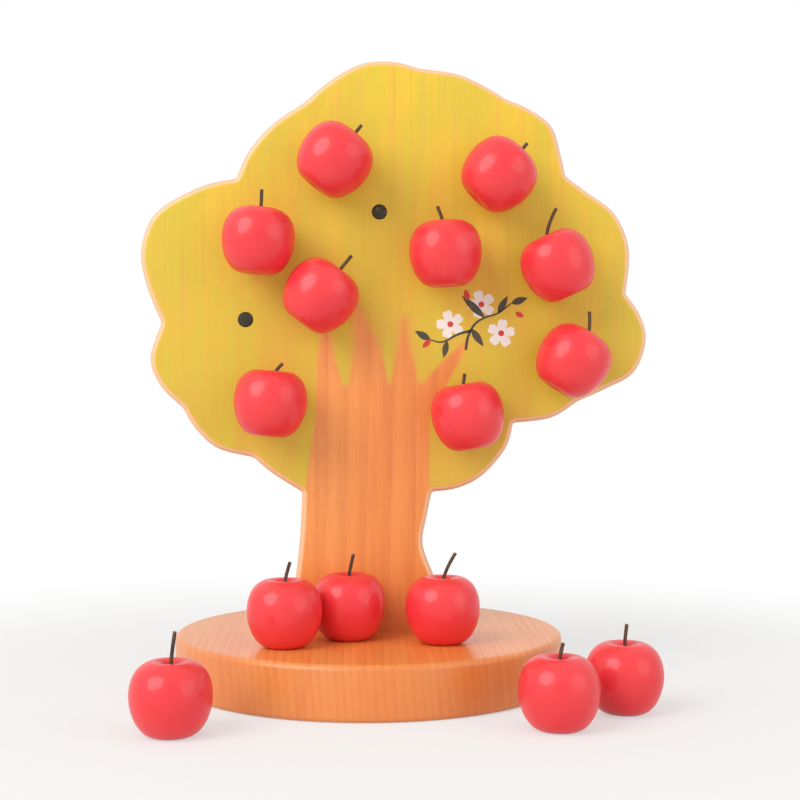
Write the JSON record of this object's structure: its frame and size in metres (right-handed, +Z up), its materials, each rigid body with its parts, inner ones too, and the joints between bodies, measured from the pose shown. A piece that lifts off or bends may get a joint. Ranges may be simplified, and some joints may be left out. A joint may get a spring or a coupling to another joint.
{
  "type": "magnetic apple tree toy",
  "caption": "Flat wooden tree standing in a slotted round base, with magnetic wooden apples that hang on its crown, stand on the base or lie beside it.",
  "frame": {"origin": "centre of the base's underside, on the surface that the toy stands on", "axes": "+Z up along the trunk; the crown's painted face and its apples look along -Y; +X is to the right seen from that side"},
  "size_m": [0.2279, 0.2051, 0.2801],
  "materials": {
    "base_wood": "solid wood under clear satin lacquer",
    "painted_board": "satin paint that lets the grain show, with bare wood along the rounded edge",
    "disc_steel": "dark oxide, satin",
    "apple_lacquer": "gloss red lacquer on turned wood",
    "magnet_ferrite": "dark sintered magnet, satin",
    "stem_twig": "matt dark brown twig"
  },
  "bodies": {
    "base": {"base_disc": "base_wood"},
    "tree": {"tree_board": "painted_board", "steel_disc_01": "disc_steel", "steel_disc_02": "disc_steel", "steel_disc_03": "disc_steel", "steel_disc_04": "disc_steel", "steel_disc_05": "disc_steel", "steel_disc_06": "disc_steel", "steel_disc_07": "disc_steel", "steel_disc_08": "disc_steel", "steel_disc_09": "disc_steel", "steel_disc_10": "disc_steel", "steel_disc_11": "disc_steel"},
    "apple_01": {"apple_01_body": "apple_lacquer", "apple_01_magnet": "magnet_ferrite", "apple_01_stem": "stem_twig"},
    "apple_02": {"apple_02_body": "apple_lacquer", "apple_02_magnet": "magnet_ferrite", "apple_02_stem": "stem_twig"},
    "apple_03": {"apple_03_body": "apple_lacquer", "apple_03_magnet": "magnet_ferrite", "apple_03_stem": "stem_twig"},
    "apple_04": {"apple_04_body": "apple_lacquer", "apple_04_magnet": "magnet_ferrite", "apple_04_stem": "stem_twig"},
    "apple_05": {"apple_05_body": "apple_lacquer", "apple_05_magnet": "magnet_ferrite", "apple_05_stem": "stem_twig"},
    "apple_06": {"apple_06_body": "apple_lacquer", "apple_06_magnet": "magnet_ferrite", "apple_06_stem": "stem_twig"},
    "apple_07": {"apple_07_body": "apple_lacquer", "apple_07_magnet": "magnet_ferrite", "apple_07_stem": "stem_twig"},
    "apple_08": {"apple_08_body": "apple_lacquer", "apple_08_magnet": "magnet_ferrite", "apple_08_stem": "stem_twig"},
    "apple_09": {"apple_09_body": "apple_lacquer", "apple_09_magnet": "magnet_ferrite", "apple_09_stem": "stem_twig"},
    "apple_10": {"apple_10_body": "apple_lacquer", "apple_10_magnet": "magnet_ferrite", "apple_10_stem": "stem_twig"},
    "apple_11": {"apple_11_body": "apple_lacquer", "apple_11_magnet": "magnet_ferrite", "apple_11_stem": "stem_twig"},
    "apple_12": {"apple_12_body": "apple_lacquer", "apple_12_magnet": "magnet_ferrite", "apple_12_stem": "stem_twig"},
    "apple_13": {"apple_13_body": "apple_lacquer", "apple_13_magnet": "magnet_ferrite", "apple_13_stem": "stem_twig"},
    "apple_14": {"apple_14_body": "apple_lacquer", "apple_14_magnet": "magnet_ferrite", "apple_14_stem": "stem_twig"},
    "apple_15": {"apple_15_body": "apple_lacquer", "apple_15_magnet": "magnet_ferrite", "apple_15_stem": "stem_twig"}
  },
  "joints": [
    {"name": "tree_lift", "type": "slide", "parent": "base", "child": "tree", "axis": [0, 0, 1], "range_m": [0, 0.025]},
    {"name": "apple_01_pull", "type": "slide", "parent": "tree", "child": "apple_01", "axis": [0, -1, 0], "range_m": [0, 0.04]},
    {"name": "apple_02_pull", "type": "slide", "parent": "tree", "child": "apple_02", "axis": [0, -1, 0], "range_m": [0, 0.04]},
    {"name": "apple_03_pull", "type": "slide", "parent": "tree", "child": "apple_03", "axis": [0, -1, 0], "range_m": [0, 0.04]},
    {"name": "apple_04_pull", "type": "slide", "parent": "tree", "child": "apple_04", "axis": [0, -1, 0], "range_m": [0, 0.04]},
    {"name": "apple_05_pull", "type": "slide", "parent": "tree", "child": "apple_05", "axis": [0, -1, 0], "range_m": [0, 0.04]},
    {"name": "apple_06_pull", "type": "slide", "parent": "tree", "child": "apple_06", "axis": [0, -1, 0], "range_m": [0, 0.04]},
    {"name": "apple_07_pull", "type": "slide", "parent": "tree", "child": "apple_07", "axis": [0, -1, 0], "range_m": [0, 0.04]},
    {"name": "apple_08_pull", "type": "slide", "parent": "tree", "child": "apple_08", "axis": [0, -1, 0], "range_m": [0, 0.04]},
    {"name": "apple_09_pull", "type": "slide", "parent": "tree", "child": "apple_09", "axis": [0, -1, 0], "range_m": [0, 0.04]},
    {"name": "apple_10_lift", "type": "slide", "parent": "base", "child": "apple_10", "axis": [0, 0, 1], "range_m": [0, 0.035]},
    {"name": "apple_11_lift", "type": "slide", "parent": "base", "child": "apple_11", "axis": [0, 0, 1], "range_m": [0, 0.035]},
    {"name": "apple_12_lift", "type": "slide", "parent": "base", "child": "apple_12", "axis": [0, 0, 1], "range_m": [0, 0.035]},
    {"name": "apple_13_lift", "type": "slide", "parent": "base", "child": "apple_13", "axis": [0, 0, 1], "range_m": [0, 0.035]},
    {"name": "apple_14_lift", "type": "slide", "parent": "base", "child": "apple_14", "axis": [0, 0, 1], "range_m": [0, 0.035]},
    {"name": "apple_15_lift", "type": "slide", "parent": "base", "child": "apple_15", "axis": [0, 0, 1], "range_m": [0, 0.035]}
  ]
}
